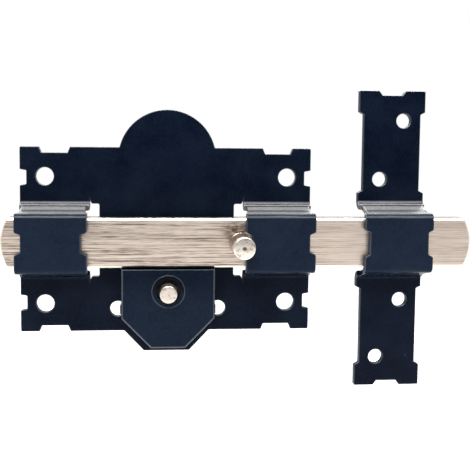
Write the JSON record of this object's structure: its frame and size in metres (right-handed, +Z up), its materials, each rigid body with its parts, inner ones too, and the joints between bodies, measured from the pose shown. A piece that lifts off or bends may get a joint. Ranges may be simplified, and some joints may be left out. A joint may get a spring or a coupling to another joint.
{
  "type": "surface bolt lock",
  "caption": "Surface door bolt: a flat steel bolt slides by a knob through bridges pressed in a base plate and in a separate keeper, with a push button that locks it.",
  "frame": {"origin": "on the base plate's back face, which lies on the door, at the bolt's centre line and midway along the plate", "axes": "+X along the bolt as it is thrown towards the keeper, +Z up, +Y into the door"},
  "size_m": [0.1757, 0.0249, 0.1152],
  "materials": {
    "black_enamel": "semi-gloss stoved enamel",
    "brushed_nickel": "lengthwise brushed nickel plate",
    "turned_nickel": "turned and nickel plated",
    "zinc_plate": "bright zinc plate",
    "spring_steel": "oil-blackened spring steel"
  },
  "bodies": {
    "lock_body": {"base_plate": "black_enamel", "keeper": "black_enamel", "mechanism_cover": "black_enamel", "guide_pin_left": "zinc_plate", "guide_pin_right": "zinc_plate", "guide_clip_left": "spring_steel", "guide_clip_right": "spring_steel", "detent_leaf": "spring_steel", "detent_rivet": "zinc_plate", "return_spring": "spring_steel"},
    "bolt": {"sliding_bolt": "brushed_nickel", "bolt_knob": "turned_nickel"},
    "release": {"release_button": "turned_nickel", "catch_plate": "zinc_plate"}
  },
  "joints": [
    {"name": "bolt_slide", "type": "slide", "parent": "lock_body", "child": "bolt", "axis": [1, 0, 0], "range_m": [-0.0537, 0]},
    {"name": "button_press", "type": "slide", "parent": "lock_body", "child": "release", "axis": [0, 1, 0], "range_m": [0, 0.0025], "stiffness_N_per_m": 400, "springref_m": -0.002, "deforming": ["return_spring"]}
  ]
}
